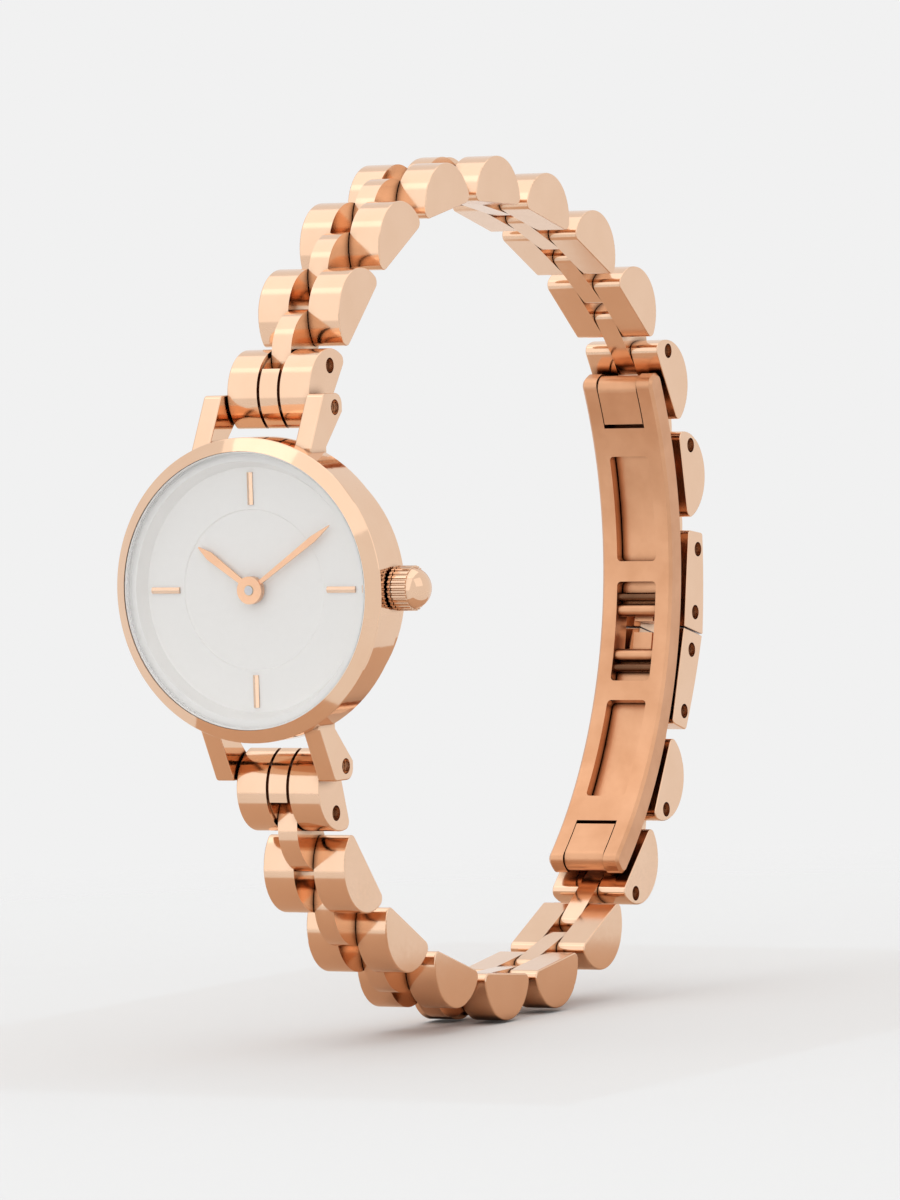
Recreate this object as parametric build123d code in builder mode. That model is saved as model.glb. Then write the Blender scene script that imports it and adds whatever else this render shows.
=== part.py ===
"""A small bracelet watch: round case, four lugs, brick-link bracelet and butterfly clasp, in millimetres.

The origin is the middle of the case back. +Y points out of the case back, into the wrist opening, so the
dial faces -Y. +Z points to 12 o'clock and +X to 3 o'clock, where the crown is. The bracelet is a closed
ring in the YZ plane behind the case, with the clasp on its far side.
"""

import math
import os

from build123d import *

os.makedirs("parts", exist_ok=True)

# Fits and cuts
running_gap = 0.03  # radial, round a pin or shaft that turns
press_gap = 0.012  # radial, round a pin that is pressed or glued in
side_gap = 0.05  # each side of a link between its neighbours
overrun = 0.5  # how far a cut runs past the face that it opens

# Case, from the back (y = 0) to the crystal (most negative y)
case_radius = 11.0
case_front_height = 5.6  # case back to the front outer edge of the bezel
bezel_rise = 0.65
bezel_inner_radius = 10.03
bezel_skirt = 1.0  # depth of the bezel's outer edge
bezel_foot_gap = 0.05  # between the bezel's foot and the case's shoulder
band_height = 2.95  # plain polished side band, bezel included
case_rim_radius = 9.95
case_rim_drop = 0.3  # the case's rear rim lies this far in front of the case back
case_flank_height = 0.5
case_spigot_radius = 10.2
dial_seat_radius = 9.3
case_edge_round = 0.12

crystal_radius = 9.9
crystal_thickness = 0.8
crystal_bevel = 0.1
crystal_gasket_wall = 0.1
crystal_gasket_drop = 0.12  # from the crystal's front face to the gasket's

case_back_radius = 9.6
case_back_thickness = 1.0
case_back_bevel = 0.25
case_back_notch_width = 2.0
case_back_notch_depth = 0.35
back_gasket_wall = 0.33
back_gasket_height = 0.4

# Dial, hands and hour markers
dial_height = 4.5  # case back to the front of the dial
dial_thickness = 0.4
dial_radius = 9.25
dial_centre_radius = 5.75
dial_centre_depth = 0.08
dial_hole_radius = 0.7
dial_foot_radius = 0.3
dial_foot_length = 0.6
flange_inner_radius = 8.85
flange_slope_radius = 9.3  # where the slope meets the lip under the crystal
flange_lip = 0.3
flange_front_gap = 0.02

marker_count = 4
marker_inner_radius = 6.13
marker_outer_radius = 8.47
marker_width = 0.45
marker_height = 0.2
marker_ridge_share = 0.45

hand_thickness = 0.13
hour_hand_gap = 0.17
hour_hand_length = 5.35
hour_hand_width = 0.62
hour_hand_angle = -54.5  # clockwise from 12, in degrees
hand_hub_radius = 1.0
hour_hub_thickness = 0.2
minute_hub_thickness = 0.26
minute_hand_gap = 0.42
minute_hand_length = 8.1
minute_hand_width = 0.48
minute_hand_angle = 55.5
hand_root_share = 0.55  # width at the hub, as a share of the widest place
hand_tip_share = 0.12
hand_widest_share = 0.8  # where along the hand it is widest
cap_radius = 0.34
cap_height = 0.06

# Motion work under the dial
gear_module = 0.1
cannon_teeth = 10
minute_wheel_teeth = 30
minute_pinion_teeth = 8
hour_wheel_teeth = 32
centre_wheel_teeth = 56
intermediate_pinion_teeth = 8
intermediate_wheel_teeth = 54
rotor_pinion_teeth = 6
addendum_share = 0.7
dedendum_share = 1.15
tooth_root_share = 0.24
tooth_tip_share = 0.1
wheel_thickness = 0.18
pinion_thickness = 0.24
gear_layer_gap = 0.04
minute_wheel_bearing = 235.0  # direction from the centre, in degrees from +X towards +Z
intermediate_bearing = 280.0
rotor_bearing = 340.0
cannon_radius = 0.36
centre_arbor_radius = 0.2
hour_tube_wall = 0.2
arbor_radius = 0.16
pivot_depth = 0.3
wheel_lift = 0.1  # gap between a wheel and the plate beside it
rotor_magnet_radius = 0.62
rotor_magnet_height = 0.42

# Movement
movement_radius = 7.6
movement_wall = 0.5
movement_gap = 0.05
holder_wall_gap = 0.06
movement_rear = 1.3  # height of the bridge's rear face above the case back's outer face
holder_rear = 1.45
plate_rear = 3.0
motion_recess_depth = 0.7
motion_recess_gap = 0.2
bridge_thickness = 0.3
bridge_edge_z = 0.9
circuit_thickness = 0.2
circuit_edge_z = 1.0
battery_radius = 2.9
battery_height = 1.25
battery_edge = 0.15
battery_place = (-3.0, 2.75)
battery_clip_length = 5.6
battery_clip_thickness = 0.12
battery_clip_width = 1.0
coil_radius = 0.42
coil_cheek_radius = 0.55
coil_cheek_thickness = 0.2
coil_place_z = 3.6
stator_rear = 2.05
stator_thickness = 0.3
stator_leg_width = 0.8
stator_legs = (0.9, 4.9)  # x of each leg's left edge
stator_hole_gap = 0.1
stator_foot_height = 1.6
quartz_radius = 0.5
quartz_length = 3.0
quartz_place = (1.1, 5.3)

# Stem, setting parts and crown
stem_height = 3.4  # stem axis above the case back's outer face
stem_radius = 0.32
stem_square = 0.4
stem_square_end = 5.95
stem_inner_end = 4.3  # x of the stem's inner end
stem_outer_end = 12.9
stem_groove_radius = 0.14
stem_groove_width = 0.55
stem_groove_place = 6.35
stem_hole_gap = 0.04
holder_hole_gap = 0.15
clutch_radius = 0.45
clutch_length = 0.7
clutch_start = 4.9
clutch_groove_depth = 0.08
clutch_groove_width = 0.2
lever_reach = 1.05
lever_width = 0.5
lever_thickness = 0.16
lever_nose_width = 0.2
lever_eye_radius = 0.45
lever_post_radius = 0.25
lever_post_z = 1.25
lever_post_shoulder = 0.4
pocket_margin = 0.07
crown_travel = 0.5
tube_radius = 0.85
tube_bore = 0.36
tube_start = 9.45
tube_stand = 1.0
crown_gap = 0.12  # crown's inner face to the case band, pushed in
crown_radius = 1.62
crown_ring_width = 0.22
crown_groove_width = 0.09
crown_groove_depth = 0.16
crown_knurl_length = 1.15
crown_flutes = 28
crown_flute_radius = 0.11
crown_ball_radius = 1.55
crown_ball_sink = 0.45  # ball's centre inside the knurled part
crown_cavity_radius = 1.15
crown_gasket_start = 0.05
crown_gasket_height = 0.33

# Lugs and spring bars
lug_pin_y = -0.97
lug_pin_z = 12.93
lug_gap = 7.1
lug_width = 1.45
lug_tip_front = 1.53  # from the spring bar's axis to the lug's front top corner
lug_tip_rear = 1.1
lug_tip_reach = 1.02
lug_heel = 0.35  # the lug's rear face slants from this far below the spring bar's axis
lug_front_round = 0.4
lug_rear_round = 0.85
lug_root_depth = 9.5  # z where the lugs end inside the case's ring
lug_root_height = 10.1  # z where their front and rear faces start to slant
lug_root_front = 4.55  # height of the lug's front root above the case back
lug_root_rear = 2.3
lug_edge_round = 0.13
spring_bar_radius = 0.45
spring_pivot_radius = 0.38
spring_pivot_reach = 0.85

# Bracelet
bracelet_width = 6.9  # at the lugs
clasp_end_width = 6.2  # at the clasp
centre_link_width = 1.6
block_pin_pitch = 4.2
centre_pin_pitch = 4.04
end_link_pitch = 3.66
end_link_shift = 0.35  # how far the end link's block is shifted from between its pins, away from the bar
link_end_margin = 1.3
link_inner = 1.6  # pin line to the flat inner side
link_outer = 1.95  # pin line to the crown of the outer side
link_corner = 0.62
corner_share = 0.92
shoulder_round = 0.5
link_edge_round = 0.1
groove_width = 0.24
groove_depth = 0.32
recess_margin = 0.25
link_pin_radius = 0.42
pin_recess = 0.45  # how deep the open pin ends lie in their holes
pin_mouth_radius = 0.57
blind_wall = 0.55
plain_links_upper = 7
plain_links_lower = 6
removable_links = 2

# Ring in the YZ plane, seen with +Y to the right: radii at even steps from +Y towards +Z
ring_radius_shares = (
    1.018, 0.997, 0.926, 0.881, 0.88, 0.908, 0.929, 0.965,
    0.991, 1.019, 1.08, 1.082, 1.096, 1.11, 1.077, 1.021,
)
ring_centre_y_share = 0.908
ring_centre_z_share = 0.055

# Clasp
clasp_block_pitch = 4.95
clasp_joint_pitch = 2.95
clasp_block_margin = 1.35
clasp_block_low = 0.7  # outer side above the pin line at the far end
clasp_block_high = 1.45  # and where the two clasp links meet
clasp_block_bulge = 0.15
clasp_block_seam = 0.06
clasp_corner = 0.3
clasp_link_round = 0.1
clasp_plate_length = 41.2
clasp_plate_shift = 0.8
clasp_plate_gap = 0.35
clasp_plate_width = 6.1
clasp_plate_thickness = 1.9
clasp_web = 0.8
clasp_channel_width = 3.5
clasp_blade_thickness = 0.95
clasp_blade_side_gap = 0.08
clasp_pin_radius = 0.4
clasp_pin_inset = 1.05
clasp_fork_length = 4.2
clasp_fork_gap = 0.35
clasp_long_window = 8.75
clasp_long_window_place = 10.2  # middle of the long windows from the plate's middle
clasp_centre_window = 8.3
clasp_window_corner = 0.35
clasp_window_width = 3.4
clasp_end_round = 0.7
chord_allowance = 0.1  # the links' flat inner sides cut inside the ring of pins
clasp_bevel = 0.22
clasp_pin_wall = 0.35
tongue_radius = 0.95
catch_pin_radius = 0.33
catch_pin_place = 2.92
catch_pin_depth = 1.36
catch_pin_seat = 0.8
hook_radius = 0.5
hook_place = 1.85
hook_depth = 1.2

# Levels along Y, worked out from the sizes above
front_edge_y = -case_front_height
crystal_top_y = front_edge_y - bezel_rise
crystal_back_y = crystal_top_y + crystal_thickness
bezel_seat_y = front_edge_y + bezel_skirt
case_shoulder_y = crystal_back_y + flange_lip
bezel_foot_y = case_shoulder_y - bezel_foot_gap
band_rear_y = front_edge_y + band_height
dial_front_y = -dial_height
dial_back_y = dial_front_y + dial_thickness
hour_hand_y = dial_front_y - hour_hand_gap
minute_hand_y = dial_front_y - minute_hand_gap
hub_top_y = minute_hand_y - minute_hub_thickness
back_seat_y = -case_back_thickness
plate_rear_y = -plate_rear
bridge_rear_y = -movement_rear
bridge_front_y = bridge_rear_y - bridge_thickness
holder_rear_y = -holder_rear
stem_y = -stem_height
x_axis = Vector(1, 0, 0)
sides = (-1, 1)


def write(piece, name):
    """Labels a finished sub-part and writes its STEP file."""
    piece.part.label = name
    export_step(piece.part, f"parts/{name}.step")


def turned(points):
    """Inside a BuildPart: one solid of revolution about Y from (radius, y) corners."""
    with BuildSketch(Plane.XY) as profile:
        Polygon(*points, align=None)
    revolve(profile.sketch, axis=Axis.Y)


def across(y):
    """The plane square to Y at that level, with local X along X, local Y along Z and its normal along -Y."""
    return Plane(origin=(0, y, 0), x_dir=(1, 0, 0), z_dir=(0, -1, 0))


def along_x(x, y=0.0, z=0.0):
    """The plane square to X at that place, with local X along Y and local Y along Z."""
    return Plane(origin=(x, y, z), x_dir=(0, 1, 0), z_dir=(1, 0, 0))


def disc(y, radius, height, place=(0, 0), mode=Mode.ADD):
    """Inside a BuildPart: a cylinder from level y towards the dial, by height."""
    with BuildSketch(across(y)) as face:
        with Locations(place):
            Circle(radius)
    extrude(face.sketch, amount=height, mode=mode)


def bearing(distance, degrees):
    """The point at that distance and direction, degrees from +X towards +Z."""
    angle = math.radians(degrees)
    return (distance * math.cos(angle), distance * math.sin(angle))


def gear_corners(teeth, first_tooth=0.0):
    """The outline of a gear with straight-sided teeth, the first one at that angle in degrees."""
    pitch_radius = teeth * gear_module / 2
    root_radius = pitch_radius - dedendum_share * gear_module
    tip_radius = pitch_radius + addendum_share * gear_module
    step = 360 / teeth
    corners = []
    for tooth in range(teeth):
        middle = first_tooth + tooth * step
        corners.append(bearing(root_radius, middle - tooth_root_share * step))
        corners.append(bearing(tip_radius, middle - tooth_tip_share * step))
        corners.append(bearing(tip_radius, middle + tooth_tip_share * step))
        corners.append(bearing(root_radius, middle + tooth_root_share * step))
    return corners


def gear(y, teeth, thickness, place=(0, 0), first_tooth=0.0):
    """Inside a BuildPart: a gear from level y towards the dial."""
    with BuildSketch(across(y)) as face:
        with Locations(place):
            Polygon(*gear_corners(teeth, first_tooth), align=None)
    extrude(face.sketch, amount=thickness)


def mesh_distance(teeth_a, teeth_b):
    """The centre distance of two gears in mesh."""
    return (teeth_a + teeth_b) * gear_module / 2


def ring_point(angle, radius):
    """The point of the ring, in the YZ plane, at that angle in degrees from +Y towards +Z."""
    count = len(ring_radius_shares)
    place = angle / 360 * count
    first = math.floor(place)
    t = place - first
    before, start, end, after = (ring_radius_shares[(first + step) % count] for step in (-1, 0, 1, 2))
    slope = end - before
    bend = 2 * before - 5 * start + 4 * end - after
    twist = 3 * (start - end) + after - before
    reach = radius * (start + t / 2 * (slope + t * (bend + t * twist)))
    turn = math.radians(angle)
    return ring_centre(radius) + Vector(0, reach * math.cos(turn), reach * math.sin(turn))


def ring_centre(radius):
    return Vector(0, lug_pin_y + ring_centre_y_share * radius, ring_centre_z_share * radius)


def flat(point):
    """A point of the YZ plane as a pair, for outlines that are drawn there."""
    return (point.Y, point.Z)


def angle_of(point, radius):
    """The angle of a point about the ring's centre, in degrees."""
    arm = point - ring_centre(radius)
    return math.degrees(math.atan2(arm.Z, arm.Y))


def pin_run(end, chords, radius):
    """The pins from one lug (end 1 at 12 o'clock, -1 at 6) along the ring, one chord after the other."""
    pins = [Vector(0, lug_pin_y, end * lug_pin_z)]
    angle = angle_of(pins[0], radius)
    for chord in chords:
        near = angle
        far = angle - end * search_span
        for _ in range(search_steps):
            middle = (near + far) / 2
            if (ring_point(middle, radius) - pins[-1]).length < chord:
                near = middle
            else:
                far = middle
        angle = middle
        pins.append(ring_point(angle, radius))
    return pins, angle


def chords_of(plain_links):
    """The pin distances of one half of the bracelet, from the spring bar to the clasp."""
    blocks = [block_pin_pitch, centre_pin_pitch] * (plain_links + removable_links)
    return [end_link_pitch, centre_pin_pitch] + blocks + [clasp_block_pitch]


# The ring's radius at which the two halves meet at the clasp
search_span = 60.0
search_steps = 40
ring_low = bracelet_width
ring_high = block_pin_pitch * (plain_links_upper + plain_links_lower + removable_links)
for _ in range(search_steps):
    ring_radius = (ring_low + ring_high) / 2
    upper_pins, upper_angle = pin_run(1, chords_of(plain_links_upper), ring_radius)
    lower_pins, lower_angle = pin_run(-1, chords_of(plain_links_lower), ring_radius)
    if math.radians(upper_angle - lower_angle) * ring_radius > clasp_joint_pitch:
        ring_high = ring_radius
    else:
        ring_low = ring_radius
print("ring radius", ring_radius)


def link_plane(first, second, end, shift=0.0):
    """The plane of a link's side: local X along the bracelet, local Y out of the ring."""
    along = second - first
    return Plane(origin=(first + second) / 2 + along.normalized() * shift, x_dir=along, z_dir=(end, 0, 0))


def d_profile(plane, half_length, shrink=0.0):
    """The side outline of a link: flat on the inside, a full arc on the outside, round corners."""
    with BuildSketch(plane) as profile:
        with BuildLine():
            inner = shrink - link_inner
            shoulder = link_corner - link_inner
            reach = half_length - shrink
            ThreePointArc((-reach, shoulder), (0, link_outer - shrink), (reach, shoulder))
            Line((reach, shoulder), (reach, inner))
            Line((reach, inner), (-reach, inner))
            Line((-reach, inner), (-reach, shoulder))
        make_face()
        levels = profile.vertices().group_by(Axis.Y)
        fillet(levels[0], corner_share * (link_corner - shrink))
        levels = profile.vertices().group_by(Axis.Y)
        fillet(levels[-1], shoulder_round)
    return profile.sketch


def slab(sketch, start, end):
    """Inside a BuildPart: the sketch, drawn at x = 0, as a solid between two x values."""
    extrude(Pos(start, 0, 0) * sketch, amount=end - start, dir=x_axis)


def cross_pin(point, radius, half_length, mode=Mode.ADD):
    """Inside a BuildPart: a pin or hole along X through a point of the YZ plane."""
    with BuildSketch(along_x(0, point.Y, point.Z)) as face:
        Circle(radius)
    extrude(face.sketch, amount=half_length, both=True, mode=mode)


def open_mouths(point, half_width):
    """Inside a BuildPart: the wider mouths of a pin's hole, one in each side face at that half width."""
    for side in sides:
        with BuildSketch(along_x(side * (half_width - pin_recess), point.Y, point.Z)) as face:
            Circle(pin_mouth_radius)
        extrude(face.sketch, amount=side * (pin_recess + overrun), mode=Mode.SUBTRACT)


def blocks(profile, width):
    """Inside a BuildPart: the two side blocks of a link, with their side faces' edges rounded."""
    inner_x = centre_link_width / 2 + side_gap
    slab(profile, inner_x, width / 2)
    slab(profile, -width / 2, -inner_x)


def round_sides(part, xs, radius):
    """Inside a BuildPart: rounds the edges of the faces that lie square to X at those places."""
    for x in xs:
        flats = part.faces().filter_by(Axis.X)
        chosen = [face for face in flats if abs(face.center().X - x) < side_gap / 2]
        fillet([edge for face in chosen for edge in face.edges()], radius)


def width_at(step, steps):
    """The bracelet's width at that link: it tapers evenly from the lugs to the clasp."""
    return bracelet_width - (bracelet_width - clasp_end_width) * step / steps


# Case body: a ring with a plain side band, a stepped flank to the rear, and four lugs
lug_inner_x = lug_gap / 2
lug_outer_x = lug_gap / 2 + lug_width
with BuildPart() as lugs:
    with BuildSketch(along_x(lug_inner_x)) as lug_outline:
        with BuildLine():
            tip_z = lug_pin_z + lug_tip_reach
            front_y = lug_pin_y - lug_tip_front
            rear_y = lug_pin_y + lug_tip_rear
            Polyline(
                (-lug_root_front, lug_root_depth),
                (-lug_root_front, lug_root_height),
                (front_y, tip_z),
                (rear_y, tip_z),
                (rear_y, lug_pin_z - lug_heel),
                (-lug_root_rear, lug_root_height),
                (-lug_root_rear, lug_root_depth),
                close=True,
            )
        make_face()
        tips = lug_outline.vertices().group_by(Axis.Y)[-1]
        fillet(tips.sort_by(Axis.X)[0], lug_front_round)
        tips = lug_outline.vertices().group_by(Axis.Y)[-1]
        fillet(tips.sort_by(Axis.X)[-1], lug_rear_round)
    slab(lug_outline.sketch, 0, lug_width)
    root_edges = lugs.edges().group_by(Axis.Z)[0]
    side_edges = lugs.faces().filter_by(Axis.X).edges()
    fillet([edge for edge in side_edges if edge not in root_edges], lug_edge_round)
    mirror(about=Plane.YZ)
    mirror(about=Plane.XY)

with BuildPart() as case_body:
    turned(
        [
            (case_radius, bezel_seat_y),
            (case_radius, band_rear_y),
            (case_rim_radius, -case_rim_drop - case_flank_height),
            (case_rim_radius, -case_rim_drop),
            (case_back_radius + side_gap, -case_rim_drop),
            (case_back_radius + side_gap, -case_back_thickness),
            (dial_seat_radius, -case_back_thickness),
            (dial_seat_radius, case_shoulder_y),
            (case_spigot_radius, case_shoulder_y),
            (case_spigot_radius, bezel_seat_y),
        ]
    )
    add(lugs.part)
    disc(-overrun, dial_seat_radius, case_front_height, mode=Mode.SUBTRACT)
    for end in sides:
        bar = Vector(0, lug_pin_y, end * lug_pin_z)
        cross_pin(bar, spring_pivot_radius + press_gap, lug_outer_x + overrun, Mode.SUBTRACT)
        open_mouths(bar, lug_outer_x)
    with BuildSketch(along_x(dial_seat_radius - overrun, stem_y)):
        Circle(tube_radius + press_gap)
    extrude(amount=case_radius, mode=Mode.SUBTRACT)
write(case_body, "case_body")
print("case body", case_body.part.volume, len(case_body.part.solids()))


# Bracelet: in each half an end link, then links of two side blocks, a centre link and two pins
half_centre = centre_link_width / 2
link_reach = block_pin_pitch / 2 + link_end_margin
centre_reach = centre_pin_pitch / 2 + link_end_margin
end_reach = end_link_pitch / 2 + link_end_margin


def brick_link(first, second, third, end, width, open_first):
    """One link: side blocks from first to second, and a centre link from second to third."""
    with BuildPart() as link:
        blocks(d_profile(link_plane(first, second, end), link_reach), width)
        round_sides(link, (-width / 2, width / 2), link_edge_round)
        blind_half = width / 2 - blind_wall
        first_half = width if open_first else blind_half
        cross_pin(first, link_pin_radius + press_gap, first_half, Mode.SUBTRACT)
        slab(d_profile(link_plane(second, third, end), centre_reach), -half_centre, half_centre)
        cross_pin(second, link_pin_radius + press_gap, blind_half, Mode.SUBTRACT)
        cross_pin(third, link_pin_radius + running_gap, half_centre + overrun, Mode.SUBTRACT)
        if open_first:
            open_mouths(first, width / 2)
        first_pin = width / 2 - pin_recess if open_first else blind_half - side_gap
        cross_pin(first, link_pin_radius, first_pin)
        cross_pin(second, link_pin_radius, blind_half - side_gap)
    return link


def end_link(bar, second, third, end):
    """The link between the lugs: one block on the spring bar, with the first centre link pinned in it."""
    frame = link_plane(bar, second, end, end_link_shift)
    mouth_start = end_link_pitch / 2 - link_end_margin - recess_margin - end_link_shift
    mouth_end = end_reach + overrun
    with BuildPart() as link:
        outline = d_profile(frame, end_reach)
        slab(outline, -bracelet_width / 2, bracelet_width / 2)
        round_sides(link, (-bracelet_width / 2, bracelet_width / 2), link_edge_round)
        rim = outline - d_profile(frame, end_reach, groove_depth)
        for side in sides:
            groove_x = side * (half_centre + side_gap)
            strip = Pos(groove_x - groove_width / 2, 0, 0) * rim
            extrude(strip, amount=groove_width, dir=x_axis, mode=Mode.SUBTRACT)
        with BuildSketch(frame) as mouth:
            with Locations(((mouth_start + mouth_end) / 2, 0)):
                Rectangle(mouth_end - mouth_start, 2 * (link_inner + link_outer))
        extrude(mouth.sketch, amount=half_centre + side_gap, both=True, mode=Mode.SUBTRACT)
        cross_pin(bar, spring_bar_radius + running_gap, bracelet_width, Mode.SUBTRACT)
        cross_pin(second, link_pin_radius + press_gap, bracelet_width, Mode.SUBTRACT)
        open_mouths(second, bracelet_width / 2)
        slab(d_profile(link_plane(second, third, end), centre_reach), -half_centre, half_centre)
        cross_pin(second, link_pin_radius + press_gap, half_centre + overrun, Mode.SUBTRACT)
        cross_pin(third, link_pin_radius + running_gap, half_centre + overrun, Mode.SUBTRACT)
        cross_pin(second, link_pin_radius, bracelet_width / 2 - pin_recess)
    return link


def clasp_link(first, second, other, end, whole_pin):
    """The last link of a half: two side blocks that meet those of the other half over the clasp.

    The blocks end at the plane halfway to the other half's last pin, less half of the seam."""
    half = clasp_block_pitch / 2
    far = -half - clasp_block_margin
    frame = link_plane(first, second, end)
    joint = frame.to_local_coords(other) - Vector(half, 0)
    reach = joint.length / 2 - clasp_block_seam
    seam_high = half + (reach * joint.length - clasp_block_high * joint.Y) / joint.X
    seam_low = half + (reach * joint.length + link_inner * joint.Y) / joint.X
    width = clasp_end_width
    with BuildPart() as link:
        with BuildSketch(frame) as profile:
            with BuildLine():
                rise = (clasp_block_low + clasp_block_high) / 2 + clasp_block_bulge
                crest = ((far + seam_high) / 2, rise)
                ThreePointArc((far, clasp_block_low), crest, (seam_high, clasp_block_high))
                Line((seam_high, clasp_block_high), (seam_low, -link_inner))
                Line((seam_low, -link_inner), (far, -link_inner))
                Line((far, -link_inner), (far, clasp_block_low))
            make_face()
            fillet(profile.vertices().group_by(Axis.X)[0], clasp_corner)
            fillet(profile.vertices().sort_by(Axis.X)[-2:], clasp_link_round)
        blocks(profile.sketch, width)
        round_sides(link, (-width / 2, width / 2), clasp_link_round)
        cross_pin(first, link_pin_radius + press_gap, width, Mode.SUBTRACT)
        cross_pin(second, link_pin_radius + press_gap, width, Mode.SUBTRACT)
        open_mouths(first, width / 2)
        open_mouths(second, width / 2)
        cross_pin(first, link_pin_radius, width / 2 - pin_recess)
        if whole_pin:
            cross_pin(second, link_pin_radius, width / 2 - pin_recess)
        else:
            stub = width / 2 - pin_recess - half_centre - 2 * side_gap
            for side in sides:
                with BuildSketch(along_x(side * (width / 2 - pin_recess), second.Y, second.Z)) as face:
                    Circle(link_pin_radius)
                extrude(face.sketch, amount=-side * stub)
    return link


halves = {"upper": (1, upper_pins, plain_links_upper), "lower": (-1, lower_pins, plain_links_lower)}
for half_name, (end, pins, plain_links) in halves.items():
    steps = plain_links + removable_links
    write(end_link(pins[0], pins[1], pins[2], end), f"end_link_{half_name}")
    for step in range(steps):
        first, second, third = pins[2 * step + 2 : 2 * step + 5]
        removable = step >= plain_links
        link = brick_link(first, second, third, end, width_at(step + 1, steps + 1), removable)
        kind = f"removable_link_{half_name}_{step - plain_links + 1}"
        write(link, kind if removable else f"link_{half_name}_{step + 1}")
    other = lower_pins[-1] if end > 0 else upper_pins[-1]
    write(clasp_link(pins[-2], pins[-1], other, end, end > 0), f"clasp_link_{half_name}")
print("upper pins", [(round(pin.Y, 2), round(pin.Z, 2)) for pin in upper_pins])
print("lower pins", [(round(pin.Y, 2), round(pin.Z, 2)) for pin in lower_pins])


# Clasp: a curved channel-shaped plate, two blades that fold into it and the latch in the middle
clasp_middle_angle = (upper_angle + lower_angle) / 2 - math.degrees(clasp_plate_shift / ring_radius)
clasp_half_angle = math.degrees(clasp_plate_length / 2 / (ring_radius - link_inner - clasp_plate_gap))


def over_plate(angle):
    """The point where the plate's outer face lies under the ring of pins at that angle."""
    out = (ring_point(angle, ring_radius) - ring_centre(ring_radius)).normalized()
    return ring_point(angle, ring_radius) - out * (link_inner + clasp_plate_gap + chord_allowance)


plate_points = [over_plate(clasp_middle_angle + share * clasp_half_angle) for share in (-1, 0, 1)]
plate_arc = ThreePointArc(*plate_points, mode=Mode.PRIVATE)
plate_centre = plate_arc.arc_center
plate_radius = plate_arc.radius
plate_half = plate_arc.length / 2
plate_middle_angle = math.degrees(
    math.atan2(plate_points[1].Z - plate_centre.Z, plate_points[1].Y - plate_centre.Y)
)
print("plate radius and length", plate_radius, plate_arc.length)


def plate_point(along, depth):
    """A point of the clasp plate: that far up from its middle along the outer face, and that deep in it."""
    angle = math.radians(plate_middle_angle) + along / plate_radius
    reach = plate_radius - depth
    return Vector(0, plate_centre.Y + reach * math.cos(angle), plate_centre.Z + reach * math.sin(angle))


def plate_slab(low, high, top, bottom):
    """The side outline of a stretch of the plate, between two places along it and two depths."""
    middle = (low + high) / 2
    with BuildSketch(Plane.YZ) as profile:
        with BuildLine():
            outer = [flat(plate_point(along, top)) for along in (low, middle, high)]
            inner = [flat(plate_point(along, bottom)) for along in (high, middle, low)]
            ThreePointArc(*outer)
            Line(outer[-1], inner[0])
            ThreePointArc(*inner)
            Line(inner[-1], outer[0])
        make_face()
    return profile.sketch


def plate_cut(low, high, top, bottom, width, corner=0.0):
    """The solid to take out of the plate there, with its four corner edges rounded."""
    with BuildPart() as tool:
        slab(plate_slab(low, high, top, bottom), -width / 2, width / 2)
        if corner:
            fillet(tool.edges().filter_by(GeomType.LINE).filter_by(Axis.X, reverse=True), corner)
    return tool.part


hinge_along = plate_half - clasp_pin_inset
hinge_depth = clasp_plate_thickness / 2
fork_along = plate_half - clasp_fork_length

with BuildPart() as clasp_plate:
    whole = plate_slab(-plate_half, plate_half, 0, clasp_plate_thickness)
    slab(whole, -clasp_plate_width / 2, clasp_plate_width / 2)
    fillet(clasp_plate.edges().filter_by(Axis.X), clasp_end_round)
    inner_faces = clasp_plate.faces().filter_by(GeomType.CYLINDER).sort_by(SortBy.AREA)[-2:]
    rims = [edge for face in inner_faces for edge in face.edges().filter_by(GeomType.CIRCLE)]
    chamfer(rims, clasp_bevel)
    end = plate_half + overrun
    floor = clasp_plate_thickness - clasp_web
    below = clasp_plate_thickness + overrun
    channel = plate_cut(-end, end, -overrun, floor, clasp_channel_width)
    add(channel, mode=Mode.SUBTRACT)
    for side in sides:
        along = sorted((side * fork_along, side * end))
        add(plate_cut(*along, -overrun, below, clasp_channel_width), mode=Mode.SUBTRACT)
        place = side * clasp_long_window_place
        low = place - clasp_long_window / 2
        high = place + clasp_long_window / 2
        window = plate_cut(low, high, floor - overrun, below, clasp_window_width, clasp_window_corner)
        add(window, mode=Mode.SUBTRACT)
        pin_half = clasp_plate_width / 2 - clasp_pin_wall
        hinge = plate_point(side * hinge_along, hinge_depth)
        cross_pin(hinge, clasp_pin_radius + press_gap, pin_half, Mode.SUBTRACT)
        catch = plate_point(side * catch_pin_place, catch_pin_depth)
        catch_half = clasp_channel_width / 2 + catch_pin_seat
        cross_pin(catch, catch_pin_radius + press_gap, catch_half, Mode.SUBTRACT)
    half_window = clasp_centre_window / 2
    middle_window = plate_cut(
        -half_window, half_window, floor - overrun, below, clasp_window_width, clasp_window_corner
    )
    add(middle_window, mode=Mode.SUBTRACT)
write(clasp_plate, "clasp_plate")

with BuildPart() as clasp_hinge_pins:
    for side in sides:
        hinge = plate_point(side * hinge_along, hinge_depth)
        cross_pin(hinge, clasp_pin_radius, clasp_plate_width / 2 - clasp_pin_wall - press_gap)
write(clasp_hinge_pins, "clasp_hinge_pins")

with BuildPart() as clasp_catch_pins:
    for side in sides:
        catch = plate_point(side * catch_pin_place, catch_pin_depth)
        cross_pin(catch, catch_pin_radius, clasp_channel_width / 2 + catch_pin_seat - press_gap)
write(clasp_catch_pins, "clasp_catch_pins")


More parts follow.
